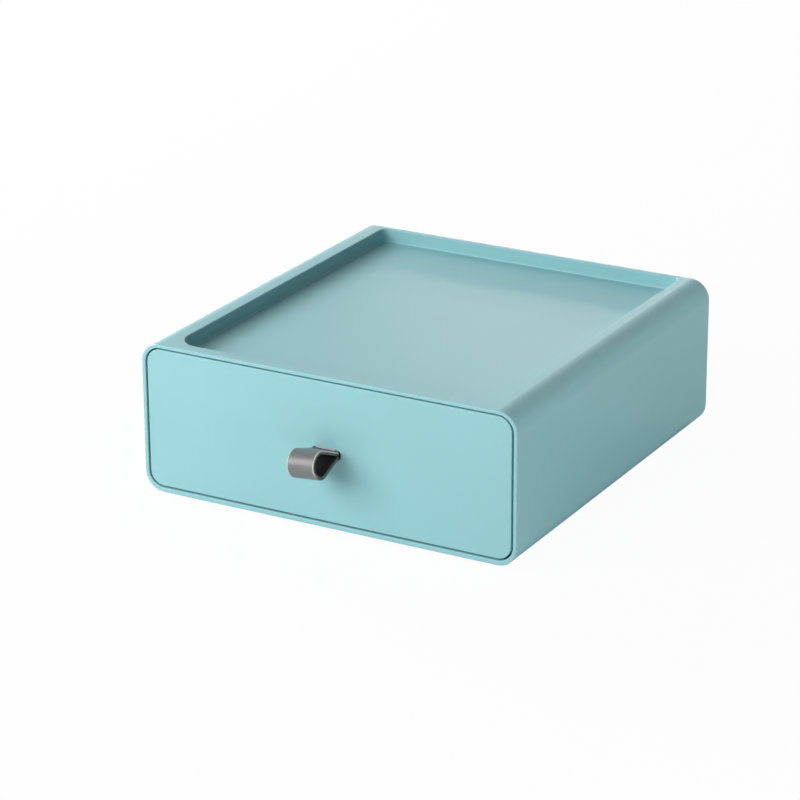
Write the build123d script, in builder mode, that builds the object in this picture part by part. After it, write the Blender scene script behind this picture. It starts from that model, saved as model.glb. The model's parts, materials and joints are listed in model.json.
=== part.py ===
from build123d import *
from math import asin, cos, degrees, radians, sin, sqrt
import os

# Stackable desktop storage box: a rounded case with a tray in its top, one drawer and a leather loop pull.
# Millimetres. +Z is up, +X is to the right seen from the front, and the drawer opens towards -Y.
# The origin is the middle of the object's whole box, on the surface that it stands on.

# Case: a rounded sleeve, open at the front
case_width = 250.0
case_depth = 260.0
case_height = 94.0
case_corner_radius = 12.5
case_wall = 2.4
case_base_wall = 3.0
case_back_wall = 3.2
case_edge_round = 0.6

# Tray in the top of the case, which takes the feet of the next box
tray_depth = 9.0
tray_side_rim = 19.0
tray_front_rim = 8.3
tray_wall = 2.4
tray_front_radius = 13.5
tray_rear_radius = 5.0
tray_rim_round = 0.8
tray_floor_round = 0.8

# Feet: soft pads in shallow pockets of the base
foot_height = 4.0
foot_diameter = 18.0
foot_pocket_depth = 0.6
foot_pocket_clearance = 0.15
foot_edge_round = 0.8
stack_clearance = 2.0

# Back panel, snapped into a rebated window in the rear wall
window_side_margin = 14.0
window_base_margin = 9.0
window_top_margin = 8.0
window_radius = 5.0
panel_thickness = 1.6
panel_rebate = 4.0
panel_clearance = 0.15
hook_inset = 40.0
hook_width = 10.0
hook_leg = 1.4
hook_barb = 0.9
hook_barb_length = 1.2
hook_clearance = 0.1

# Drawer front in the mouth of the case
mouth_gap_side = 1.2
mouth_gap_top = 0.9
mouth_gap_base = 1.1
front_inset = 0.2
front_wall = 2.6
front_edge_round = 0.6
front_frame_wall = 2.0
front_frame_inset = 2.0
closing_rib = 2.0
closing_rib_margin = 20.0
closing_gap = 0.3

# Drawer bin
bin_wall = 2.0
bin_floor_wall = 2.0
bin_side_gap = 3.4
bin_top_gap = 3.1
bin_rear_gap = 3.0
bin_corner_step = 1.1
bin_inner_round = 3.0
bin_rim_round = 0.7

# Runners, guides and stops between case and drawer
runner_width = 3.0
runner_height = 1.2
runner_clearance = 0.3
runner_inset = 14.0
guide_height = 3.0
guide_clearance = 0.4
track_front_margin = 16.0
track_rear_margin = 6.0
drawer_travel = 185.0
stop_width = 24.0
stop_inset = 50.0
stop_rib_thickness = 2.0
stop_rib_clearance = 0.8
stop_tab_clearance = 0.6
stop_gap = 0.3

# Screws that hold the front to the bin
screw_diameter = 3.0
screw_length = 7.5
screw_head_diameter = 6.0
screw_head_height = 1.8
screw_head_round = 0.8
screw_recess_length = 3.2
screw_recess_width = 0.8
screw_recess_depth = 1.0
screw_hole_clearance = 0.2
screw_bite = 0.2
boss_diameter = 7.0
boss_inset = 16.0
boss_end_wall = 0.8

# Leather loop, its slot in the front and the pin in its inner fold
strap_width = 17.5
strap_thickness = 2.3
strap_ply_gap = 0.1
strap_neck_width = 15.2
pull_offset = 1.0
strap_shoulder_gap = 0.5
loop_radius = 8.9
loop_reach = 29.4
loop_lift = 0.3
throat_length = 1.0
throat_round = 4.0
strap_clearance = 0.4
pull_swing = 4.0
slot_end_clearance = 0.9
slot_swing_clearance = 0.15
slot_radius = 2.0
pin_diameter = 2.0
pin_length = 25.0
pin_clearance = 0.15
saddle_gap = 1.8
saddle_wall = 1.5
saddle_end_wall = 1.2
saddle_clearance = 0.05
keeper_clearance = 0.1

# Heights
case_bottom = foot_height
case_top = case_bottom + case_height
cavity_floor = case_bottom + case_base_wall
cavity_top = case_top - case_wall
tray_floor = case_top - tray_depth
ceiling = tray_floor - tray_wall
slot_z = case_bottom + case_height / 2

# Places along the depth
front_y = (loop_reach - case_depth) / 2
back_y = front_y + case_depth
tray_front_y = front_y + tray_front_rim
tray_rear_y = back_y - case_back_wall
face_y = front_y + front_inset
plate_back_y = face_y + front_wall
fold_radius = pin_diameter / 2 + pin_clearance + strap_thickness
pin_y = plate_back_y + strap_clearance + fold_radius
bin_front_y = pin_y + fold_radius + strap_clearance
bin_rear_y = tray_rear_y - bin_rear_gap
stop_rib_y = bin_rear_y - bin_wall - drawer_travel - stop_gap

# Half widths and corner radii across the case
cavity_half = case_width / 2 - case_wall
tray_half = case_width / 2 - tray_side_rim
bin_half = cavity_half - bin_side_gap
front_half = cavity_half - mouth_gap_side
window_half = cavity_half - window_side_margin
cavity_radius = case_corner_radius - case_wall
bin_corner_radius = cavity_radius - bin_corner_step

# Heights of the drawer's pieces
front_bottom = cavity_floor + mouth_gap_base
front_top = cavity_top - mouth_gap_top
bin_bottom = cavity_floor + runner_height + runner_clearance
bin_top = ceiling - bin_top_gap
frame_bottom = bin_bottom + front_frame_inset
frame_top = bin_top - front_frame_inset
frame_half = bin_half - front_frame_inset
window_bottom = cavity_floor + window_base_margin
window_top = ceiling - window_top_margin

# Patterns
screw_spots = [
    (x, z)
    for x in (boss_inset - frame_half, frame_half - boss_inset)
    for z in (frame_bottom + boss_inset, frame_top - boss_inset)
]
stop_spots = [stop_inset - bin_half, bin_half - stop_inset]
foot_x = tray_half - stack_clearance - foot_diameter / 2
foot_front_y = tray_front_y + stack_clearance + foot_diameter / 2
foot_rear_y = tray_rear_y - stack_clearance - foot_diameter / 2
foot_spots = {
    "front_left": (-foot_x, foot_front_y),
    "front_right": (foot_x, foot_front_y),
    "rear_left": (-foot_x, foot_rear_y),
    "rear_right": (foot_x, foot_rear_y),
}


def facing(y):
    """Upright plane at depth y, seen from the front: a positive extrusion comes towards the viewer."""
    return Plane.XZ.offset(-y)


def middle(low, high):
    """Halfway between two values."""
    return (low + high) / 2


def tangent_point(point, centre, radius, side):
    """Where a line from a point touches a circle, on the side that the sign of side gives."""
    to_centre = centre - point
    reach = sqrt(to_centre.length**2 - radius**2)
    turn = degrees(asin(radius / to_centre.length))
    return point + to_centre.normalized().rotate(Axis.Z, side * turn) * reach


def write(part, name):
    """Label a finished piece and write it to its own file."""
    part.label = name
    export_step(part, f"parts/{name}.step")


os.makedirs("parts", exist_ok=True)

# Case shell: sleeve, tray, rear window, runners, guides, stops and foot pockets
with BuildPart() as case_shell:
    with BuildSketch(facing(front_y)):
        with Locations((0, middle(case_bottom, case_top))):
            RectangleRounded(case_width, case_height, case_corner_radius)
    extrude(amount=-case_depth)
    fillet(case_shell.edges().group_by(Axis.Y)[-1], case_edge_round)

    with BuildSketch(facing(front_y)):
        with Locations((0, middle(cavity_floor, cavity_top))):
            RectangleRounded(2 * cavity_half, cavity_top - cavity_floor, cavity_radius)
    extrude(amount=-(case_depth - case_back_wall), mode=Mode.SUBTRACT)

    # The tray hangs into the sleeve as a tub, and is then hollowed from above
    tub_front_y = tray_front_y - tray_wall
    tub_rear_y = back_y - case_back_wall / 2
    with BuildSketch(Plane.XY.offset(ceiling)) as tub_plan:
        with Locations((0, middle(tub_front_y, tub_rear_y))):
            Rectangle(2 * (tray_half + tray_wall), tub_rear_y - tub_front_y)
        fillet(tub_plan.vertices().group_by(Axis.Y)[0], tray_front_radius + tray_wall)
    extrude(amount=case_top - case_wall / 2 - ceiling)
    with BuildSketch(Plane.XY.offset(tray_floor)) as tray_plan:
        with Locations((0, middle(tray_front_y, tray_rear_y))):
            Rectangle(2 * tray_half, tray_rear_y - tray_front_y)
        fillet(tray_plan.vertices().group_by(Axis.Y)[-1], tray_rear_radius)
        fillet(tray_plan.vertices().group_by(Axis.Y)[0], tray_front_radius)
    extrude(amount=2 * tray_depth, mode=Mode.SUBTRACT)
    tray_edges = case_shell.edges(Select.LAST).group_by(Axis.Z)
    fillet(tray_edges[-1], tray_rim_round)
    fillet(tray_edges[0], tray_floor_round)
    fillet(case_shell.edges().group_by(Axis.Y)[0], case_edge_round)

    # Rear window with a rebate for its panel
    with BuildSketch(facing(back_y)):
        with Locations((0, middle(window_bottom, window_top))):
            RectangleRounded(
                2 * (window_half + panel_rebate),
                window_top - window_bottom + 2 * panel_rebate,
                window_radius + panel_rebate,
            )
    extrude(amount=panel_thickness, mode=Mode.SUBTRACT)
    with BuildSketch(facing(back_y)):
        with Locations((0, middle(window_bottom, window_top))):
            RectangleRounded(2 * window_half, window_top - window_bottom, window_radius)
    extrude(amount=case_back_wall, mode=Mode.SUBTRACT)

    # Runners under the bin and guides beside it
    track_front_y = front_y + track_front_margin
    track_rear_y = tray_rear_y - track_rear_margin
    runner_x = bin_half - bin_corner_radius - runner_inset
    with BuildSketch(Plane.XY.offset(cavity_floor)):
        with Locations([(side * runner_x, middle(track_front_y, track_rear_y)) for side in (-1, 1)]):
            Rectangle(runner_width, track_rear_y - track_front_y)
    extrude(amount=runner_height)
    guide_depth = bin_side_gap - guide_clearance
    guide_x = cavity_half - guide_depth / 2
    with BuildSketch(facing(track_front_y)):
        with Locations((-guide_x, slot_z), (guide_x, slot_z)):
            Rectangle(guide_depth, guide_height)
    extrude(amount=track_front_y - track_rear_y)

    # Stop ribs under the tray, which the tabs on the bin's rear wall meet
    with BuildSketch(Plane.XY.offset(ceiling)):
        with Locations([(x, stop_rib_y - stop_rib_thickness / 2) for x in stop_spots]):
            Rectangle(stop_width, stop_rib_thickness)
    extrude(amount=stop_rib_clearance - bin_top_gap)

    # Pockets for the feet
    with BuildSketch(Plane.XY.offset(case_bottom)):
        with Locations(list(foot_spots.values())):
            Circle(foot_diameter / 2 + foot_pocket_clearance)
    extrude(amount=foot_pocket_depth, mode=Mode.SUBTRACT)
write(case_shell.part, "case_shell")

# Back panel: a plate in the rebate with four hooks behind the rear wall
with BuildPart() as back_panel:
    hook_top = window_top - hook_clearance
    hook_tip_y = tray_rear_y - hook_clearance - hook_barb_length
    for hook_x in (hook_inset - window_half, window_half - hook_inset):
        with BuildSketch(Plane.YZ.offset(hook_x)):
            with BuildLine():
                Polyline(
                    (back_y - panel_thickness, hook_top),
                    (tray_rear_y - hook_clearance, hook_top),
                    (tray_rear_y - hook_clearance, hook_top + hook_barb),
                    (hook_tip_y, hook_top),
                    (hook_tip_y, hook_top - hook_leg),
                    (back_y - panel_thickness, hook_top - hook_leg),
                    close=True,
                )
            make_face()
        extrude(amount=hook_width / 2, both=True)
    mirror(about=Plane.XY.offset(middle(window_bottom, window_top)))
    with BuildSketch(facing(back_y)):
        with Locations((0, middle(window_bottom, window_top))):
            RectangleRounded(
                2 * (window_half + panel_rebate - panel_clearance),
                window_top - window_bottom + 2 * (panel_rebate - panel_clearance),
                window_radius + panel_rebate - panel_clearance,
            )
    extrude(amount=panel_thickness)
write(back_panel.part, "back_panel")

# Feet
for foot_name, foot_spot in foot_spots.items():
    with BuildPart() as foot_pad:
        with BuildSketch(Plane.XY):
            with Locations(foot_spot):
                Circle(foot_diameter / 2)
        extrude(amount=foot_height + foot_pocket_depth)
        fillet(foot_pad.edges().group_by(Axis.Z)[0], foot_edge_round)
    write(foot_pad.part, f"foot_pad_{foot_name}")

# Drawer bin: an open tub with stop tabs behind, screw holes in front and two posts that keep the pin
keeper_x = strap_neck_width / 2 + saddle_gap
with BuildPart() as drawer_bin:
    with BuildSketch(facing(bin_front_y)) as bin_section:
        with Locations((0, middle(bin_bottom, bin_top))):
            Rectangle(2 * bin_half, bin_top - bin_bottom)
        fillet(bin_section.vertices().group_by(Axis.Y)[0], bin_corner_radius)
    extrude(amount=bin_front_y - bin_rear_y)

    hollow_floor = bin_bottom + bin_floor_wall
    hollow_half = bin_half - bin_wall
    hollow_front_y = bin_front_y + bin_wall
    hollow_rear_y = bin_rear_y - bin_wall
    with BuildSketch(facing(hollow_front_y)) as bin_hollow:
        with Locations((0, middle(hollow_floor, bin_top))):
            Rectangle(2 * hollow_half, bin_top - hollow_floor)
        fillet(bin_hollow.vertices().group_by(Axis.Y)[0], bin_corner_radius - bin_wall)
    extrude(amount=hollow_front_y - hollow_rear_y, mode=Mode.SUBTRACT)
    end_walls = drawer_bin.faces().filter_by(Axis.Y).sort_by(Axis.Y)[1:-1]
    fillet(end_walls.edges().filter_by(lambda edge: edge.center().Z < bin_top - bin_rim_round), bin_inner_round)
    fillet(drawer_bin.faces().sort_by(Axis.Z)[-1].edges(), bin_rim_round)

    with BuildSketch(Plane.XY.offset(bin_top - bin_rim_round)):
        with Locations([(x, bin_rear_y - bin_wall / 2) for x in stop_spots]):
            Rectangle(stop_width, bin_wall)
    extrude(amount=bin_rim_round + bin_top_gap - stop_tab_clearance)

    with BuildSketch(facing(bin_front_y)):
        with Locations(screw_spots):
            Circle(screw_diameter / 2 + screw_hole_clearance)
    extrude(amount=-bin_wall, mode=Mode.SUBTRACT)

    keeper_width = pin_length / 2 - keeper_x
    keeper_spots = [(pull_offset + side * (keeper_x + keeper_width / 2), slot_z) for side in (-1, 1)]
    with BuildSketch(facing(bin_front_y)):
        with Locations(keeper_spots):
            Rectangle(keeper_width, pin_diameter)
    extrude(amount=bin_front_y - pin_y - pin_diameter / 2 - keeper_clearance)
write(drawer_bin.part, "drawer_bin")

# Drawer front: a rounded plate with a frame behind it, screw bosses, saddles for the pin and the strap's slot
throat_half = strap_thickness + strap_ply_gap / 2
slot_height = 2 * (
    throat_half * cos(radians(pull_swing)) + (pin_y - face_y) * sin(radians(pull_swing)) + slot_swing_clearance
)
with BuildPart() as drawer_front:
    with BuildSketch(facing(face_y)):
        with Locations((0, middle(front_bottom, front_top))):
            RectangleRounded(2 * front_half, front_top - front_bottom, cavity_radius - mouth_gap_side)
    extrude(amount=-front_wall)
    fillet(drawer_front.edges().group_by(Axis.Y)[0], front_edge_round)

    # Rib that meets the tray's front wall when the drawer is shut
    with BuildSketch(facing(plate_back_y)):
        with Locations((0, middle(ceiling, front_top))):
            Rectangle(2 * (tray_half - closing_rib_margin), closing_rib)
    extrude(amount=plate_back_y - (tray_front_y - tray_wall - closing_gap))

    # Frame that seats on the bin's front wall
    with BuildSketch(facing(plate_back_y)):
        with Locations((0, middle(frame_bottom, frame_top))):
            frame_height = frame_top - frame_bottom
            frame_radius = bin_corner_radius - front_frame_inset
            RectangleRounded(2 * frame_half, frame_height, frame_radius)
            RectangleRounded(
                2 * (frame_half - front_frame_wall),
                frame_height - 2 * front_frame_wall,
                frame_radius - front_frame_wall,
                mode=Mode.SUBTRACT,
            )
    extrude(amount=plate_back_y - bin_front_y)

    with BuildSketch(facing(plate_back_y)):
        with Locations(screw_spots):
            Circle(boss_diameter / 2)
    extrude(amount=plate_back_y - bin_front_y)
    with BuildSketch(facing(bin_front_y)):
        with Locations(screw_spots):
            Circle(screw_diameter / 2 - screw_bite)
    extrude(amount=bin_front_y - plate_back_y - boss_end_wall, mode=Mode.SUBTRACT)

    # Saddles at both ends of the pin, open behind
    saddle_width = pin_length / 2 + saddle_end_wall - keeper_x
    saddle_spots = [(pull_offset + side * (keeper_x + saddle_width / 2), slot_z) for side in (-1, 1)]
    with BuildSketch(facing(plate_back_y)):
        with Locations(saddle_spots):
            Rectangle(saddle_width, pin_diameter + 2 * saddle_wall)
    extrude(amount=plate_back_y - pin_y)
    with BuildSketch(Plane.YZ.offset(pull_offset)):
        with Locations((pin_y, slot_z)):
            Circle(pin_diameter / 2 + saddle_clearance)
    extrude(amount=pin_length / 2 + saddle_clearance, both=True, mode=Mode.SUBTRACT)

    with BuildSketch(facing(face_y)):
        with Locations((pull_offset, slot_z)):
            RectangleRounded(strap_width + 2 * slot_end_clearance, slot_height, slot_radius)
    extrude(amount=-front_wall, mode=Mode.SUBTRACT)
write(drawer_front.part, "drawer_front")

# Screws: pan heads inside the bin, shanks in the bosses
with BuildPart() as front_screws:
    head_y = bin_front_y + bin_wall
    with BuildSketch(facing(head_y)):
        with Locations(screw_spots):
            Circle(screw_head_diameter / 2)
    extrude(amount=-screw_head_height)
    fillet(front_screws.edges().group_by(Axis.Y)[-1], screw_head_round)
    with BuildSketch(facing(head_y)):
        with Locations(screw_spots):
            Circle(screw_diameter / 2)
    extrude(amount=screw_length)
    with BuildSketch(facing(head_y + screw_head_height)):
        with Locations(screw_spots):
            Rectangle(screw_recess_length, screw_recess_width)
            Rectangle(screw_recess_width, screw_recess_length)
    extrude(amount=screw_recess_depth, mode=Mode.SUBTRACT)
write(front_screws.part, "front_screws")

# Pin in the strap's inner fold
with BuildPart() as strap_pin:
    with BuildSketch(Plane.YZ.offset(pull_offset)):
        with Locations((pin_y, slot_z)):
            Circle(pin_diameter / 2)
    extrude(amount=pin_length / 2, both=True)
write(strap_pin.part, "strap_pin")

# Strap: a teardrop loop in front, a throat through the slot and a fold round the pin, one band all the way
loop_centre = Vector(front_y - loop_reach + loop_radius, slot_z + loop_lift)
fold_centre = Vector(pin_y, slot_z)
with BuildPart() as pull_strap:
    with BuildSketch(Plane.YZ.offset(pull_offset)) as band:
        with BuildLine():
            throat_front = [Vector(face_y - throat_length, slot_z + side * throat_half) for side in (1, -1)]
            throat_rear = [Vector(plate_back_y, slot_z + side * throat_half) for side in (1, -1)]
            loop_ends = [tangent_point(throat_front[i], loop_centre, loop_radius, (-1, 1)[i]) for i in (0, 1)]
            fold_ends = [tangent_point(throat_rear[i], fold_centre, fold_radius, (1, -1)[i]) for i in (0, 1)]
            loop_tip = loop_centre - Vector(loop_radius, 0)
            fold_tip = fold_centre + Vector(fold_radius, 0)
            Polyline(fold_ends[0], throat_rear[0], throat_front[0], loop_ends[0])
            ThreePointArc(loop_ends[0], loop_tip, loop_ends[1])
            Polyline(loop_ends[1], throat_front[1], throat_rear[1], fold_ends[1])
            ThreePointArc(fold_ends[1], fold_tip, fold_ends[0])
        make_face()
        fillet([band.vertices().sort_by_distance(corner)[0] for corner in throat_front], throat_round)
        offset(amount=-strap_thickness, mode=Mode.SUBTRACT)
    extrude(amount=strap_width / 2, both=True)

    # The neck that passes the slot is narrower than the loop
    shoulder_y = face_y - strap_shoulder_gap
    side_cut = strap_width
    with BuildSketch(facing(shoulder_y)):
        for side in (-1, 1):
            with Locations((pull_offset + side * (strap_neck_width / 2 + side_cut / 2), slot_z)):
                Rectangle(side_cut, 2 * loop_radius)
    extrude(amount=shoulder_y - pin_y - 2 * fold_radius, mode=Mode.SUBTRACT)
write(pull_strap.part, "pull_strap")
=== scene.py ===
"""Looks of a stackable storage box with one drawer and a leather loop pull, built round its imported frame."""

import json
import logging
import math
from abc import ABC, abstractmethod
from collections.abc import Mapping
from dataclasses import dataclass
from enum import Enum

import bpy
import numpy as np
from mathutils import Matrix, Vector


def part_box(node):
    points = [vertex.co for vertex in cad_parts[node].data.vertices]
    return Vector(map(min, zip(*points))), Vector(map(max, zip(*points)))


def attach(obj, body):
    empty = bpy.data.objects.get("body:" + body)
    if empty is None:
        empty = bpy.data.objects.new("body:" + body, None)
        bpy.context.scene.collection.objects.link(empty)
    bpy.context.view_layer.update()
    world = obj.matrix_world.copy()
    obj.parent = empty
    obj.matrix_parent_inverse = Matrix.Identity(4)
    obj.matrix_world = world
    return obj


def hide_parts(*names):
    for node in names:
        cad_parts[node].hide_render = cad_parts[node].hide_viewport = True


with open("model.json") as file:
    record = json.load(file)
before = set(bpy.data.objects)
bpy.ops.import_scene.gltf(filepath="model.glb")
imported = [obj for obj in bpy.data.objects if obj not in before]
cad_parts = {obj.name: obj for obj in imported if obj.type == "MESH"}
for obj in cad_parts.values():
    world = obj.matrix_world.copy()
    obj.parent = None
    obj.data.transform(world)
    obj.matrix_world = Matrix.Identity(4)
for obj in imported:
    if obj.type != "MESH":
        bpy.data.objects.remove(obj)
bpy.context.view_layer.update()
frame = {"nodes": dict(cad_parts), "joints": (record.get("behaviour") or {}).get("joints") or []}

log = logging.getLogger("storage_box")

Colour = tuple[float, float, float]
Point = tuple[float, float, float]
Span = tuple[float, float]

WHITE: Colour = (1.0, 1.0, 1.0)
NOISE_MIDDLE = 0.5


# Shader maths


class Value:
    """A number, colour or vector that a material works out: one output socket.

    An operator on it adds a Math node.
    """

    def __init__(self, graph: "Graph", socket: bpy.types.NodeSocket) -> None:
        """Wraps a socket.

        Args:
            graph: the graph that the socket's node is in.
            socket: the output socket.
        """
        self.graph = graph
        self.socket = socket

    def __add__(self, other: "Operand") -> "Value":
        """Sum."""
        return self.graph.math("ADD", self, other)

    def __radd__(self, other: "Operand") -> "Value":
        """Sum, with the number first."""
        return self.graph.math("ADD", other, self)

    def __sub__(self, other: "Operand") -> "Value":
        """Difference."""
        return self.graph.math("SUBTRACT", self, other)

    def __rsub__(self, other: "Operand") -> "Value":
        """Difference, with the number first."""
        return self.graph.math("SUBTRACT", other, self)

    def __mul__(self, other: "Operand") -> "Value":
        """Product."""
        return self.graph.math("MULTIPLY", self, other)

    def __rmul__(self, other: "Operand") -> "Value":
        """Product, with the number first."""
        return self.graph.math("MULTIPLY", other, self)

    def swing(self) -> "Value":
        """Noise less its middle, so that it swings either way of 0."""
        return self - NOISE_MIDDLE

    def steps(self, low: float, high: float) -> "Value":
        """Smooth step from 0 at low to 1 at high.

        Args:
            low: the value that gives 0.
            high: the value that gives 1; it may be below low, for a falling step.

        Returns:
            A number from 0 to 1.
        """
        return self.graph.node(
            "ShaderNodeMapRange",
            {"interpolation_type": "SMOOTHSTEP"},
            {"Value": self, "From Min": low, "From Max": high},
        )


Operand = Value | float


class Graph:
    """The nodes of one material, lamp or world."""

    def __init__(self, tree: bpy.types.NodeTree) -> None:
        """Empties the tree.

        Args:
            tree: the node tree to fill.
        """
        self.tree = tree
        tree.nodes.clear()

    def node(
        self,
        kind: str,
        settings: Mapping[str, object] | None = None,
        sockets: Mapping[str | int, object] | None = None,
        output: str | int = 0,
    ) -> Value:
        """Adds any node.

        Args:
            kind: Blender's name of the node's type.
            settings: the node's own settings, which are set first.
            sockets: what each input socket holds: a number, colour or vector, or a Value to link.
            output: the output socket that is handed back.

        Returns:
            The output socket, wrapped; an output node hands back its own input.
        """
        made = self.tree.nodes.new(kind)
        for name, setting in (settings or {}).items():
            setattr(made, name, setting)
        for name, held in (sockets or {}).items():
            if isinstance(held, Value):
                self.tree.links.new(held.socket, made.inputs[name])
            else:
                made.inputs[name].default_value = held
        return Value(self, made.outputs[output] if made.outputs else made.inputs[0])

    def math(self, operation: str, *operands: Operand) -> Value:
        """Adds one Math node.

        Args:
            operation: the node's operation.
            operands: its numbers or links, in order.

        Returns:
            The result.
        """
        return self.node("ShaderNodeMath", {"operation": operation}, dict(enumerate(operands)))

    def place(self) -> Value:
        """Where the shaded point is, in the piece's own frame, in metres."""
        return self.node("ShaderNodeTexCoord", output="Object")

    def apart(self, vector: Value) -> tuple[Value, Value, Value]:
        """The three parts of a vector."""
        made = self.node("ShaderNodeSeparateXYZ", None, {0: vector}).socket.node
        return tuple(Value(self, made.outputs[i]) for i in range(3))

    def stretched(self, vector: Value, scale: Point) -> Value:
        """A vector scaled along each axis, for streaks and brushing."""
        return self.node("ShaderNodeMapping", None, {"Vector": vector, "Scale": scale})

    def noise(self, vector: Value, size: float, detail: float = 2.0, roughness: float = 0.5) -> Value:
        """Soft noise from 0 to 1.

        Args:
            vector: where it is read.
            size: the size of one patch, in metres.
            detail: how many finer layers it has.
            roughness: how strong the finer layers are.

        Returns:
            The noise.
        """
        sockets = {"Vector": vector, "Scale": 1.0 / size, "Detail": detail, "Roughness": roughness}
        return self.node("ShaderNodeTexNoise", None, sockets)

    def cells(self, vector: Value, size: float) -> Value:
        """Smoothed distance to the nearest cell's centre, in cells.

        Args:
            vector: where it is read.
            size: the size of one cell, in metres.

        Returns:
            The distance.
        """
        sockets = {"Vector": vector, "Scale": 1.0 / size}
        return self.node("ShaderNodeTexVoronoi", {"feature": "SMOOTH_F1"}, sockets, "Distance")

    def blend(self, factor: Operand, first: object, second: object) -> Value:
        """A colour between two.

        Args:
            factor: 0 for the first and 1 for the second.
            first: a colour or a Value.
            second: a colour or a Value.

        Returns:
            The mixed colour.
        """
        sockets = {0: factor, 6: rgba(first), 7: rgba(second)}
        return self.node("ShaderNodeMix", {"data_type": "RGBA"}, sockets, 2)

    def varied(self, share: Value, colour: Colour, levels: Span) -> Value:
        """A colour that varies in level.

        Args:
            share: 0 for the lowest level and 1 for the highest.
            colour: the colour at level 1.
            levels: the lowest and the highest level.

        Returns:
            The varied colour.
        """
        low, high = (tuple(part * level for part in colour) for level in levels)
        return self.blend(share, low, high)

    def relief(self, height: Value) -> Value:
        """The normal of a surface that stands out by height, in metres."""
        return self.node("ShaderNodeBump", None, {"Height": height, "Strength": 1.0, "Distance": 1.0})

    def surface(self, shader: Value, kind: str = "ShaderNodeOutputMaterial") -> None:
        """Links a shader to the output."""
        self.node(kind, None, {"Surface": shader})


def rgba(colour: object) -> object:
    """A colour with its alpha, or a Value as it is."""
    return colour if isinstance(colour, Value) else (*colour, 1.0)


def new_material(name: str) -> tuple[bpy.types.Material, Graph]:
    """An empty material and its graph.

    Args:
        name: the material's name.

    Returns:
        The material and the graph of its nodes.
    """
    material = bpy.data.materials.new(name)
    material.use_nodes = True
    return material, Graph(material.node_tree)


# Finishes


@dataclass(frozen=True)
class Finish(ABC):
    """How a surface looks: one material with a Principled shader. Lengths are in metres."""

    name: str

    @abstractmethod
    def inputs(self, graph: Graph) -> dict[str, object]:
        """Works out what feeds the shader.

        Args:
            graph: the material's graph.

        Returns:
            For each input by its name, a number, a colour or a Value.
        """

    def material(self) -> bpy.types.Material:
        """Builds the finish.

        Returns:
            The material.
        """
        material, graph = new_material(self.name)
        graph.surface(graph.node("ShaderNodeBsdfPrincipled", None, self.inputs(graph)))
        return material


@dataclass(frozen=True)
class MouldedPlastic(Finish):
    """Matte moulded plastic: a pitted grain, faint flow clouds, and the mark of the gate where one shows.

    A shade is added to the colour's level of 1, within its reach, and a sheen is a change of roughness.
    """

    colour: Colour
    roughness: float = 0.325
    refraction: float = 1.46
    sheen_tint: Colour = (0.7, 0.95, 1.0)
    shade_reach: float = 0.2
    grain_size: float = 0.00042
    grain_height: float = 0.000012
    grain_shade: float = 0.02
    pit_grains: float = 3.2
    pit_share: float = 0.6
    pit_sheen: float = 0.04
    cloud_size: float = 0.055
    cloud_shade: float = 0.05
    cloud_sheen: float = 0.05
    gate: Point | None = None
    gate_radius: float = 0.0014
    gate_edge: Span = (1.5, 0.5)
    gate_depth: float = 0.00004
    gate_shade: float = 0.02
    blush_radius: float = 0.009
    blush_shade: float = 0.004

    def inputs(self, graph: Graph) -> dict[str, object]:
        """Works out what feeds the shader.

        Grain and pits stand out, clouds and grain shade the colour, and clouds and pits vary the roughness.
        At the gate the surface is lower and darker, with a faint blush round it.

        Args:
            graph: the material's graph.

        Returns:
            For each input by its name, a number, a colour or a Value.
        """
        place = graph.place()
        cloud = graph.noise(place, self.cloud_size, detail=3.0)
        grain = graph.noise(place, self.grain_size, roughness=0.6)
        pits = graph.noise(place, self.grain_size * self.pit_grains, detail=1.0)
        height = (grain + pits * self.pit_share) * self.grain_height
        shade = cloud.swing() * self.cloud_shade + grain.swing() * self.grain_shade
        sheen = cloud.swing() * self.cloud_sheen + pits.swing() * self.pit_sheen
        if self.gate:
            distance = self.from_gate(graph, place)
            outside, inside = (self.gate_radius * share for share in self.gate_edge)
            pit = distance.steps(outside, inside)
            blush = distance.steps(self.blush_radius, self.gate_radius)
            height = height - pit * self.gate_depth
            shade = shade - pit * self.gate_shade - blush * self.blush_shade
        levels = (1.0 - self.shade_reach, 1.0 + self.shade_reach)
        return {
            "Base Color": graph.varied(shade * (0.5 / self.shade_reach) + 0.5, self.colour, levels),
            "Roughness": sheen + self.roughness,
            "IOR": self.refraction,
            "Specular Tint": rgba(self.sheen_tint),
            "Normal": graph.relief(height),
        }

    def from_gate(self, graph: Graph, place: Value) -> Value:
        """How far a point is from the gate, in metres."""
        ends = {0: place, 1: self.gate}
        return graph.node("ShaderNodeVectorMath", {"operation": "DISTANCE"}, ends, "Value")


@dataclass(frozen=True)
class SoftRubber(Finish):
    """Soft grey foot pad: dull, with a fine cast skin and paler dust."""

    colour: Colour
    roughness: float = 0.82
    skin_size: float = 0.0006
    skin_height: float = 0.00003
    dust_size: float = 0.006
    dust_span: Span = (0.35, 0.8)
    dust_level: float = 1.5
    dust_lift: float = 0.02
    dust_dulling: float = 0.12

    def inputs(self, graph: Graph) -> dict[str, object]:
        """Works out what feeds the shader: the skin stands out, and dust pales and dulls it.

        Args:
            graph: the material's graph.

        Returns:
            For each input by its name, a number, a colour or a Value.
        """
        place = graph.place()
        skin = graph.noise(place, self.skin_size, detail=3.0)
        dust = graph.noise(place, self.dust_size, detail=4.0, roughness=0.65)
        pale = tuple(part * self.dust_level + self.dust_lift for part in self.colour)
        return {
            "Base Color": graph.blend(dust.steps(*self.dust_span), self.colour, pale),
            "Roughness": self.roughness + dust.swing() * self.dust_dulling,
            "Normal": graph.relief(skin * self.skin_height),
        }


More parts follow.
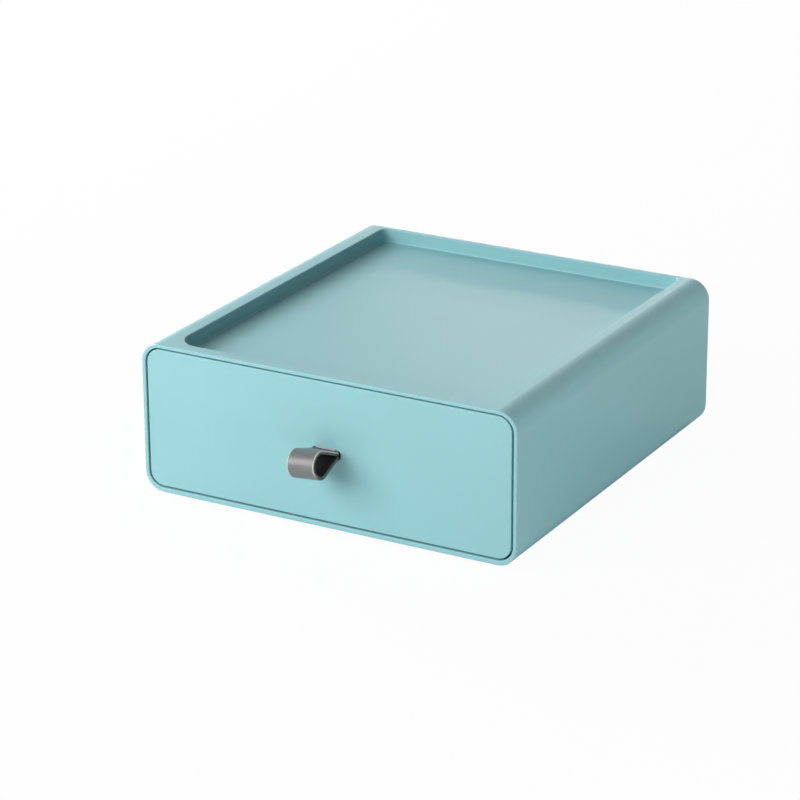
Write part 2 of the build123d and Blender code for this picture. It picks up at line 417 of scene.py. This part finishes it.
@dataclass(frozen=True)
class PlatedSteel(Finish):
    """Bright plated steel with fine marks drawn along one direction, and a duller bloom."""

    colour: Colour
    draw: Point
    roughness: float = 0.36
    mark_size: float = 0.00025
    mark_height: float = 0.000004
    mark_dulling: float = 0.12
    bloom_size: float = 0.002
    bloom_span: Span = (0.3, 0.75)
    bloom_levels: Span = (0.72, 1.0)
    bloom_dulling: float = 0.08

    def inputs(self, graph: Graph) -> dict[str, object]:
        """Works out what feeds the shader: marks stand out, bloom darkens, and both vary the roughness.

        Args:
            graph: the material's graph.

        Returns:
            For each input by its name, a number, a colour or a Value.
        """
        place = graph.place()
        marks = graph.noise(graph.stretched(place, self.draw), self.mark_size)
        bloom = graph.noise(place, self.bloom_size, detail=3.0)
        drawn = self.roughness + marks.swing() * self.mark_dulling
        return {
            "Base Color": graph.varied(bloom.steps(*self.bloom_span), self.colour, self.bloom_levels),
            "Metallic": 1.0,
            "Roughness": drawn + bloom.swing() * self.bloom_dulling,
            "Normal": graph.relief(marks * self.mark_height),
        }


class Mark(Enum):
    """Attributes that the strap's mesh carries for its finish."""

    CUT = "cut_edge"
    OUTER = "outer_ply"
    # Above 0 rubbed leather, partly a painted highlight on the ridge; below 0 painted shade in the crease
    RUB_AND_SHADE = "rubbed_root_painted_crease_shade"
    # Painted highlight on the cut edge where it faces front and up
    EDGE_HIGHLIGHT = "painted_edge_highlight"


@dataclass(frozen=True)
class StrapLeather(Finish):
    """Two-ply coated leather: a grained grey face, a dark lining that is partly painted shade inside the loop,
    cut edges with a painted highlight where they face front and up, and a rubbed root with a painted highlight
    on its ridge and painted shade in its crease.

    A span is where a smooth step begins and ends, and levels are the lowest and highest of a colour.
    """

    face: Colour
    lining: Colour
    edge: Colour
    inner_edge: Colour
    rubbed: Colour
    roughness: float = 0.33
    rough_side: float = 0.78
    pebble_size: float = 0.00065
    pebble_height: float = 0.000012
    crease_size: float = 0.0022
    crease_stretch: Point = (0.35, 1.0, 1.0)
    crease_span: Span = (0.25, 0.8)
    crease_height: float = 0.00002
    crease_dulling: float = 0.1
    fibre_size: float = 0.00022
    fibre_stretch: Point = (0.3, 1.0, 1.0)
    fibre_height: float = 0.00003
    face_levels: Span = (0.9, 1.08)
    pale_levels: Span = (0.8, 1.15)
    lining_levels: Span = (0.6, 1.5)
    inner_edge_levels: Span = (0.7, 1.3)
    ply_span: Span = (0.4, 0.6)
    cut_span: Span = (0.2, 0.8)
    rubbed_span: Span = (0.25, 0.75)
    # the span over which the root mark below 0 paints shade in the crease
    crease_shade_span: Span = (-0.25, -0.75)

    def inputs(self, graph: Graph) -> dict[str, object]:
        """Works out what feeds the shader.

        The mesh's marks choose between face, lining and cut edges. The face has pebbles and creases, and all
        the rest is fibre. A root mark above 0 is rubbed leather, partly a painted highlight on the ridge's
        top, and one below 0 is painted shade in the crease, in the lining's colour. The edge highlight mark
        paints the pale edge colour on the outer ply's cut edge as a highlight; elsewhere that edge takes the
        dark inner edge colour as painted shade.

        Args:
            graph: the material's graph.

        Returns:
            For each input by its name, a number, a colour or a Value.
        """
        place = graph.place()
        cut, outer, rub_and_shade, pale = (
            graph.node("ShaderNodeAttribute", {"attribute_name": mark.value}, None, "Fac")
            for mark in (Mark.CUT, Mark.OUTER, Mark.RUB_AND_SHADE, Mark.EDGE_HIGHLIGHT)
        )
        outer = outer.steps(*self.ply_span)
        pebble = graph.cells(place, self.pebble_size)
        creased, fibrous = (graph.stretched(place, way) for way in (self.crease_stretch, self.fibre_stretch))
        crease = graph.noise(creased, self.crease_size, detail=4.0, roughness=0.6)
        fibre = graph.noise(fibrous, self.fibre_size, detail=3.0, roughness=0.7)
        face = graph.varied(crease.steps(*self.crease_span), self.face, self.face_levels)
        rubbed = graph.varied(fibre, self.rubbed, self.pale_levels)
        # Rubbed leather on the ridge, partly a painted highlight, then painted shade in the crease in the
        # lining's colour
        face = graph.blend(rub_and_shade.steps(*self.rubbed_span), face, rubbed)
        face = graph.blend(rub_and_shade.steps(*self.crease_shade_span), face, self.lining)
        # The lining is near black: a dark backing, darkened further as painted shade inside the loop
        lining = graph.varied(fibre, self.lining, self.lining_levels)
        outer_edge = graph.varied(fibre, self.edge, self.pale_levels)
        inner_edge = graph.varied(fibre, self.inner_edge, self.inner_edge_levels)
        sides = graph.blend(outer, lining, face)
        # Painted highlight: the pale edge colour where the outer ply's cut edge faces front and up; elsewhere
        # the dark inner edge colour, painted shade
        edges = graph.blend(outer * pale, inner_edge, outer_edge)
        smooth = outer * (1 - cut)
        grained = pebble * self.pebble_height + crease * self.crease_height
        height = smooth * grained + (1 - smooth) * fibre * self.fibre_height
        roughness = self.rough_side - smooth * (self.rough_side - self.roughness)
        return {
            "Base Color": graph.blend(cut.steps(*self.cut_span), sides, edges),
            "Roughness": roughness + crease.swing() * self.crease_dulling,
            "Normal": graph.relief(height),
        }


TEAL: Colour = (0.3, 0.575, 0.61)
CASE_PLASTIC = MouldedPlastic("case_plastic", TEAL, gate=(0.002, 0.0226, 0.089))
BACK_PLASTIC = MouldedPlastic("back_plastic", TEAL, cloud_size=0.04)
BIN_PLASTIC = MouldedPlastic("bin_plastic", TEAL, roughness=0.42, cloud_size=0.07)
FRONT_PLASTIC = MouldedPlastic("front_plastic", TEAL, cloud_size=0.06)
FOOT_RUBBER = SoftRubber("foot_rubber", (0.09, 0.1, 0.1))
SCREW_STEEL = PlatedSteel("screw_steel", (0.62, 0.62, 0.6), (1.0, 6.0, 1.0))
PIN_STEEL = PlatedSteel("pin_steel", (0.58, 0.58, 0.57), (0.05, 1.0, 1.0))
STRAP_LEATHER = StrapLeather(
    "strap_leather",
    face=(0.194, 0.199, 0.201),
    # lining: a dark backing, darkened further as painted shade inside the loop
    lining=(0.03, 0.03, 0.031),
    # edge: the pale cut edge, shown only as a painted highlight where it faces front and up
    edge=(0.68, 0.62, 0.57),
    # inner_edge: the dark edge, also painted shade on the outer ply where it faces down and back
    inner_edge=(0.11, 0.11, 0.108),
    # rubbed: rubbed pale leather on the root's ridge, partly a painted highlight
    rubbed=(0.5, 0.43, 0.42),
)


def dress(node: str, material: bpy.types.Material) -> None:
    """Gives a CAD node its finish.

    Args:
        node: the node's name.
        material: the finish.
    """
    materials = frame["nodes"][node].data.materials
    materials.clear()
    materials.append(material)
    log.info("%s: %s", node, material.name)


# The object


@dataclass
class Case:
    """The sleeve with its tray, the panel behind and the four feet."""

    feet: tuple[str, ...] = ("front_left", "front_right", "rear_left", "rear_right")

    def dress(self) -> None:
        """Gives every piece of the case its finish."""
        dress("case_shell", CASE_PLASTIC.material())
        dress("back_panel", BACK_PLASTIC.material())
        rubber = FOOT_RUBBER.material()
        for foot in self.feet:
            dress(f"foot_pad_{foot}", rubber)


@dataclass
class Drawer:
    """The bin, its front, and the screws and pin between them."""

    def dress(self) -> None:
        """Gives every piece of the drawer its finish."""
        dress("drawer_bin", BIN_PLASTIC.material())
        dress("drawer_front", FRONT_PLASTIC.material())
        dress("front_screws", SCREW_STEEL.material())
        dress("strap_pin", PIN_STEEL.material())


@dataclass
class Pull:
    """The leather loop: one closed two-ply band, round the loop, through the slot and round the pin.

    Lengths are in metres and the roll is in degrees. A run is the length over which something changes, and
    the belly, the neck's and the shoulders' reach and the painted edge highlight's marks are plain shares.
    """

    thickness: float = 0.0023
    leg_gap: float = 0.0001
    neck_width: float = 0.0152
    neck_reach: float = 1.6
    throat_length: float = 0.001
    shoulder_gap: float = 0.0005
    shoulder_run: float = 0.0005
    shoulder_reach: float = 4.0
    belly: float = 0.2
    roll: float = 5.0
    roll_run: float = 0.014
    ridge_spot: float = 0.0009
    ridge_run: float = 0.0004
    ridge_height: float = 0.0012
    ridge_half_width: float = 0.0063
    ridge_end_run: float = 0.0006
    # Painted highlight on the cut edge: pale where the outward normal points along this way, front and up
    edge_highlight_way: tuple[float, float] = (-0.75, 0.66)
    edge_highlight_reach: float = 0.35
    edge_highlight_run: float = 0.9
    edge_highlight_depth: float = 0.15
    edge_highlight_fade: float = 0.3
    # Painted shade: the crease in front of the ridge has no shape and is only painted dark
    crease_spot: float = 0.00114
    crease_run: float = 0.0001
    crease_end: float = 0.0022
    edge_round: float = 0.00035
    edge_squareness: float = 3.0
    crown_drop: float = 0.0001
    crown_run: float = 0.0016
    step: float = 0.0003
    fineness: int = 4
    softening: float = 0.0008
    loop_points: int = 160
    fold_points: int = 60
    face_points: int = 45
    edge_points: int = 17

    def __post_init__(self) -> None:
        """Reads from the frame where the strap's solid, its pin and the drawer's front are."""
        low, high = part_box("pull_strap")
        joint = next(j for j in frame["joints"] if j["name"] == "pull_swing")
        self.pin = np.array(joint["pos_m"][1:])
        self.width = high.x - low.x
        self.offset = (high.x + low.x) / 2
        self.loop_radius = (high.z - low.z) / 2 - self.thickness / 2
        self.loop_centre = np.array([low.y + (high.z - low.z) / 2, (high.z + low.z) / 2])
        self.fold_radius = high.y - self.pin[0] - self.thickness / 2
        self.face_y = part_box("drawer_front")[0].y

    def build(self) -> None:
        """Makes the strap, dresses it and puts it in place of its solid."""
        strap = self.mesh_object(*self.band())
        strap.data.materials.append(STRAP_LEATHER.material())
        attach(strap, "pull")
        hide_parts("pull_strap")
        log.info("%s: %d faces", strap.name, len(strap.data.polygons))

    def route(self) -> np.ndarray:
        """The band's middle line in the plane of depth and height, once round, against the clock from +X.

        It joins, in order: the upper throat, a straight leg that touches the loop's circle, the loop's arc,
        the lower leg and throat in the same way, and the fold round the pin. The arc's lower half leans back
        by the belly's share of its drop. The line is then divided into even steps, with finer ones at the
        shoulders, and softened by a running mean.

        Returns:
            Points as rows of depth and height.
        """
        half = (self.leg_gap + self.thickness) / 2
        mouth_y = self.face_y - self.throat_length
        neck_y = self.pin[0] - self.neck_reach * self.fold_radius
        top, base, neck_top, neck_base = (
            np.array([y, self.pin[1] + side * half]) for y in (mouth_y, neck_y) for side in (1, -1)
        )
        loop = arc_between(top, base, self.loop_centre, self.loop_radius, self.loop_points)
        fold = arc_between(neck_base, neck_top, self.pin, self.fold_radius, self.fold_points)
        loop[:, 0] += self.belly * np.clip(self.loop_centre[1] - loop[:, 1], 0.0, None)
        return self.softened(np.concatenate([[neck_top, top], loop, [base, neck_base], fold]))

    def softened(self, line: np.ndarray) -> np.ndarray:
        """Divides a closed line into even steps and takes their running mean, weighted by a raised cosine.

        Args:
            line: points of the closed line.

        Returns:
            The new points, closer together where the shoulders are.
        """
        closed = np.concatenate([line, line[:1]])
        run = np.concatenate([[0.0], np.cumsum(np.linalg.norm(np.diff(closed, axis=0), axis=1))])
        fine_step = self.step / self.fineness
        even = np.linspace(0.0, run[-1], int(run[-1] / fine_step), endpoint=False)
        fine = np.stack([np.interp(even, run, closed[:, i]) for i in (0, 1)], 1)
        reach = int(self.softening / fine_step)
        weight = np.hanning(2 * reach + 3)[1:-1]
        weight = weight / weight.sum()
        wrapped = np.concatenate([fine[-reach:], fine, fine[:reach]])
        soft = np.stack([np.convolve(wrapped[:, i], weight, "valid") for i in (0, 1)], 1)
        away = np.abs(soft[:, 0] - (self.face_y - self.shoulder_gap))
        near = away < self.shoulder_reach * self.shoulder_run
        keep = near | (np.arange(len(soft)) % self.fineness == 0)
        return soft[keep]

    def section(self) -> tuple[np.ndarray, np.ndarray, np.ndarray]:
        """Outline across the band: two faces that drop a little near the edges, and two plies' rounded edges.

        An edge's inset is r (1 - (1 - |u|^p)^(1/p)), where u runs from -1 to 1 across each ply, so both plies
        bulge and a groove is left between them.

        Returns:
            For each point of the outline: which side and how far in from the edge, the height from the middle
            as a share of the half thickness, and 1 where it is on a cut edge.
        """
        share = np.linspace(-1.0, 1.0, 2 * self.edge_points + 1)
        across = np.abs(2 * np.abs(share) - 1)
        inset = self.edge_round * (1 - (1 - across**self.edge_squareness) ** (1 / self.edge_squareness))
        face = np.linspace(1.0, -1.0, self.face_points + 2)[1:-1]
        side = np.concatenate([np.ones_like(share), face, -np.ones_like(share), -face])
        flat = np.full_like(face, self.edge_round)
        depth = np.concatenate([inset, flat, inset, flat])
        height = np.concatenate([share, np.ones_like(face), -share, -np.ones_like(face)])
        edge, plain = np.ones_like(share), np.zeros_like(face)
        cut = np.concatenate([edge, plain, edge, plain])
        return np.stack([side, depth], 1), height, cut

    def band(self) -> tuple[np.ndarray, dict[Mark, np.ndarray]]:
        """Carries the section along the route, then rolls the loop a little on its way out.

        A point is the route's point, plus the section's height along the route's outward normal, plus the
        section's side times the half width across, less its inset. The half width changes from the loop's to
        the neck's in a smooth step at the shoulders. On top of the root the outer ply is pushed up into a
        ridge. The crease in front of it has no shape and is only marked for painted shade, and the ridge's
        top is marked as rubbed, partly a painted highlight. A cut edge gets a painted highlight on the outer
        part of the outer ply, where the outward normal points along edge_highlight_way, front and up.

        Returns:
            The grid of points, and the grids of marks for the finish.
        """
        line = self.route()
        ahead = np.roll(line, -1, 0) - np.roll(line, 1, 0)
        ahead /= np.linalg.norm(ahead, axis=1)[:, None]
        outward = np.stack([ahead[:, 1], -ahead[:, 0]], 1)
        spot, height, cut = self.section()
        step = eased((line[:, 0] - self.face_y + self.shoulder_gap) / self.shoulder_run + 0.5)
        half = (self.width + (self.neck_width - self.width) * step) / 2
        inner = half[:, None] - spot[None, :, 1]
        across = self.offset + spot[None, :, 0] * inner
        past_edge = np.abs(spot[None, :, 0]) * inner - half[:, None]
        near_edge = np.clip(past_edge / self.crown_run + 1.0, 0.0, 1.0)
        lift = height[None, :] * (self.thickness / 2 - self.crown_drop * near_edge**2)
        outer = np.clip(height, 0.0, 1.0)[None, :]
        ridge, crease = self.root_marks(line, across, outward)
        lift = lift + outer * ridge * self.ridge_height
        depth = line[:, None, 0] + lift * outward[:, None, 0]
        rise = line[:, None, 1] + lift * outward[:, None, 1]
        # Painted highlight on the cut edge, strongest where the outward normal points along edge_highlight_way
        pale = eased((outward @ self.edge_highlight_way + self.edge_highlight_reach) / self.edge_highlight_run)
        marks = {
            Mark.CUT: cut[None, :],
            Mark.OUTER: (height > 0)[None, :],
            # Rubbed ridge, partly a painted highlight, less painted shade in the crease
            Mark.RUB_AND_SHADE: outer * (ridge * (1 - crease) - crease),
            Mark.EDGE_HIGHLIGHT: pale[:, None] * eased((height[None, :] - self.edge_highlight_depth) / self.edge_highlight_fade),
        }
        marks = {mark: np.broadcast_to(grid, across.shape) for mark, grid in marks.items()}
        return self.rolled(across, depth, rise), marks

    def root_marks(
        self, line: np.ndarray, across: np.ndarray, outward: np.ndarray
    ) -> tuple[np.ndarray, np.ndarray]:
        """The ridge across the top of the neck, and the crease that its front falls to, which is painted dark
        as shade.

        The ridge is a bell curve of the way out from the drawer's front. The crease begins on the ridge's
        front side and ends further out, each in a smooth step. Both stop near the neck's edges.

        Args:
            line: the route.
            across: the grid's places across the band.
            outward: the route's outward normals.

        Returns:
            Both marks' strengths from 0 to 1 at each point of the grid.
        """
        out = self.face_y - line[:, 0]
        bell = np.exp(-(((out - self.ridge_spot) / self.ridge_run) ** 2))
        begun = eased((out - self.crease_spot) / self.crease_run)
        not_ended = eased((self.crease_end - out) / self.crease_run)
        ends = 1 - eased((np.abs(across - self.offset) - self.ridge_half_width) / self.ridge_end_run)
        upward = np.clip(outward[:, 1], 0.0, 1.0)
        ridge, crease = ((mark * upward)[:, None] * ends for mark in (bell, begun * not_ended))
        return ridge, crease

    def rolled(self, across: np.ndarray, depth: np.ndarray, rise: np.ndarray) -> np.ndarray:
        """Turns each point about a level line through the loop's middle, by an angle that grows further out.

        Args:
            across: the grid's places across.
            depth: the grid's depths.
            rise: the grid's heights.

        Returns:
            The grid of points.
        """
        turn = math.radians(self.roll) * eased((self.face_y - depth) / self.roll_run)
        side, up = across - self.offset, rise - self.loop_centre[1]
        turned_side = self.offset + side * np.cos(turn) - up * np.sin(turn)
        turned_up = self.loop_centre[1] + side * np.sin(turn) + up * np.cos(turn)
        return np.stack([turned_side, depth, turned_up], 2)

    def mesh_object(self, points: np.ndarray, marks: Mapping[Mark, np.ndarray]) -> bpy.types.Object:
        """Turns the grid, closed both ways, into a mesh with its marks.

        Args:
            points: the grid of points.
            marks: for each mark, its grid of values.

        Returns:
            The strap's object, at the origin.
        """
        rows, columns = points.shape[:2]
        index = np.arange(rows * columns).reshape(rows, columns)
        corners = [index, np.roll(index, -1, 0), np.roll(index, (-1, -1), (0, 1)), np.roll(index, -1, 1)]
        quads = np.stack(corners, 2).reshape(-1, 4)
        flat = points.reshape(-1, 3)
        first, second, third = (flat[quads[:, i]] for i in (0, 1, 2))
        if np.einsum("ij,ij->", first, np.cross(second, third)) < 0:
            quads = quads[:, ::-1]
        mesh = bpy.data.meshes.new("leather_loop")
        mesh.from_pydata(flat.tolist(), [], quads.tolist())
        mesh.polygons.foreach_set("use_smooth", np.ones(len(quads), dtype=bool))
        for mark, grid in marks.items():
            attribute = mesh.attributes.new(mark.value, "FLOAT", "POINT")
            attribute.data.foreach_set("value", np.ascontiguousarray(grid, dtype=np.float32).ravel())
        mesh.update()
        strap = bpy.data.objects.new("leather_loop", mesh)
        bpy.context.scene.collection.objects.link(strap)
        return strap


def eased(share: np.ndarray) -> np.ndarray:
    """Smooth step: 3 t^2 - 2 t^3 of a share t that is held between 0 and 1."""
    held = np.clip(share, 0.0, 1.0)
    return held * held * (3 - 2 * held)


def arc_between(
    start: np.ndarray, end: np.ndarray, centre: np.ndarray, radius: float, count: int
) -> np.ndarray:
    """The arc, against the clock, between the points where lines from two points outside touch a circle.

    Seen from the centre, a line from a point at distance d touches at an angle of acos(radius / d) to it.

    Args:
        start: the point that the first line comes from.
        end: the point that the last line goes to.
        centre: the circle's centre.
        radius: the circle's radius.
        count: how many points the arc has.

    Returns:
        The arc's points.
    """
    ways = [point - centre for point in (start, end)]
    bearings = [math.atan2(way[1], way[0]) for way in ways]
    touches = [math.acos(radius / math.hypot(*way)) for way in ways]
    first, last = bearings[0] + touches[0], bearings[1] - touches[1]
    angles = np.linspace(first, first + (last - first) % (2 * math.pi), count)
    return centre + radius * np.stack([np.cos(angles), np.sin(angles)], 1)


# Studio


@dataclass(frozen=True)
class SoftBox:
    """A rectangular lamp that looks at a point."""

    name: str
    place: Point
    aim: Point
    width: float
    height: float
    level: float

    def light(self) -> None:
        """Hangs the lamp.

        Its power is level (pi distance)^2, so that a level of 1 shows a facing colour as it is written.
        """
        lamp = bpy.data.lights.new(self.name, "AREA")
        lamp.shape = "RECTANGLE"
        lamp.size, lamp.size_y = self.width, self.height
        towards = Vector(self.aim) - Vector(self.place)
        lamp.energy = self.level * (math.pi * towards.length) ** 2
        box = bpy.data.objects.new(self.name, lamp)
        box.location = self.place
        box.visible_camera = False
        box.rotation_euler = towards.to_track_quat("-Z", "Y").to_euler()
        bpy.context.scene.collection.objects.link(box)


LAMP_AIM: Point = (0.0, 0.0, 0.06)


@dataclass
class Studio:
    """Surround, floor, lamps and camera. Angles are in degrees, and lens and sensor in millimetres."""

    azimuth: float = 29.39
    elevation: float = 21.008
    roll: float = -0.2933
    distance: float = 1.94966
    aim: Point = (-0.01584, 0.00193, 0.04135)
    lens: float = 143.62
    sensor: float = 36.0
    ambient: float = 0.13
    backdrop_top: tuple[float, float] = (45.0, 58.0)
    backdrop_colour: Colour = (0.86, 0.98, 1.0)
    floor_half: float = 6.0
    floor_colour: Colour = (0.88, 0.88, 0.88)
    floor_whitening: float = 0.96
    lamps: tuple[SoftBox, ...] = (
        SoftBox("key_box", (-0.864, -1.559, 0.968), LAMP_AIM, width=1.6, height=1.2, level=0.942),
        SoftBox("left_box", (-1.681, 0.784, 0.809), LAMP_AIM, width=0.7, height=0.6, level=0.61),
        SoftBox("low_card", (0.85, -0.1, 0.055), (0.0, -0.1, 0.05), width=1.0, height=0.09, level=0.35),
        SoftBox("back_strip", (-0.532, 1.918, 0.33), LAMP_AIM, width=1.03, height=0.25, level=0.145),
    )

    def build(self) -> None:
        """Sets up everything that isn't part of the object."""
        bpy.context.scene.view_settings.view_transform = "Standard"
        self.world()
        self.floor()
        for lamp in self.lamps:
            lamp.light()
        self.camera()

    def seen(self, graph: Graph) -> tuple[Value, Value]:
        """Whether a ray comes from the camera, and whether it comes by a mirror or through glass.

        Args:
            graph: the graph that asks.

        Returns:
            Two numbers, 0 or 1.
        """
        path = graph.node("ShaderNodeLightPath").socket.node
        camera, glossy, through = (
            Value(graph, path.outputs[f"Is {kind} Ray"]) for kind in ("Camera", "Glossy", "Transmission")
        )
        return camera, graph.math("MAXIMUM", glossy, through)

    def world(self) -> None:
        """A plain surround that lights at the ambient level.

        The camera sees it white. Mirrors see it in the backdrop's colour, which is bright up to the first
        angle of the backdrop's top and fades in a smooth step to the ambient level at the second.
        """
        world = bpy.data.worlds.new("surround")
        world.use_nodes = True
        graph = Graph(world.node_tree)
        camera, mirrored = self.seen(graph)
        rise = graph.apart(graph.node("ShaderNodeTexCoord", output="Generated"))[2]
        low, high = (math.sin(math.radians(angle)) for angle in self.backdrop_top)
        seen = graph.math("MAXIMUM", camera, mirrored * rise.steps(high, low))
        strength = self.ambient + seen * (1.0 - self.ambient)
        colour = graph.blend(mirrored, WHITE, self.backdrop_colour)
        sockets = {"Color": colour, "Strength": strength}
        graph.surface(graph.node("ShaderNodeBackground", None, sockets), "ShaderNodeOutputWorld")
        bpy.context.scene.world = world

    def floor(self) -> None:
        """A pale floor that is seen nearly white and keeps a soft shadow."""
        half = self.floor_half
        corners = [(-half, -half, 0.0), (half, -half, 0.0), (half, half, 0.0), (-half, half, 0.0)]
        mesh = bpy.data.meshes.new("floor")
        mesh.from_pydata(corners, [], [(0, 1, 2, 3)])
        material, graph = new_material("floor")
        camera = self.seen(graph)[0]
        matte = graph.node("ShaderNodeBsdfDiffuse", None, {"Color": rgba(self.floor_colour)})
        white = graph.node("ShaderNodeEmission", None, {"Color": rgba(WHITE), "Strength": 1.0})
        layers = {0: camera * self.floor_whitening, 1: matte, 2: white}
        graph.surface(graph.node("ShaderNodeMixShader", None, layers))
        mesh.materials.append(material)
        floor = bpy.data.objects.new("floor", mesh)
        bpy.context.scene.collection.objects.link(floor)

    def camera(self) -> None:
        """The camera at the photo's viewpoint: it looks at aim from azimuth and elevation, then rolls."""
        turn, rise, tilt = (math.radians(a) for a in (self.azimuth, self.elevation, self.roll))
        back = Vector((math.sin(turn) * math.cos(rise), -math.cos(turn) * math.cos(rise), math.sin(rise)))
        level = Vector((math.cos(turn), math.sin(turn), 0.0))
        upright = back.cross(level)
        right = level * math.cos(tilt) + upright * math.sin(tilt)
        up = upright * math.cos(tilt) - level * math.sin(tilt)
        spot = Vector(self.aim) + back * self.distance
        data = bpy.data.cameras.new("camera")
        data.lens, data.sensor_width = self.lens, self.sensor
        camera = bpy.data.objects.new("camera", data)
        camera.matrix_world = Matrix(
            [(right[i], up[i], back[i], spot[i]) for i in range(3)] + [(0.0, 0.0, 0.0, 1.0)]
        )
        bpy.context.scene.collection.objects.link(camera)
        bpy.context.scene.camera = camera


def main() -> None:
    """Builds the studio and the object."""
    logging.basicConfig(level=logging.INFO)
    Studio().build()
    Case().dress()
    Drawer().dress()
    Pull().build()


if __name__ == "__main__":
    main()
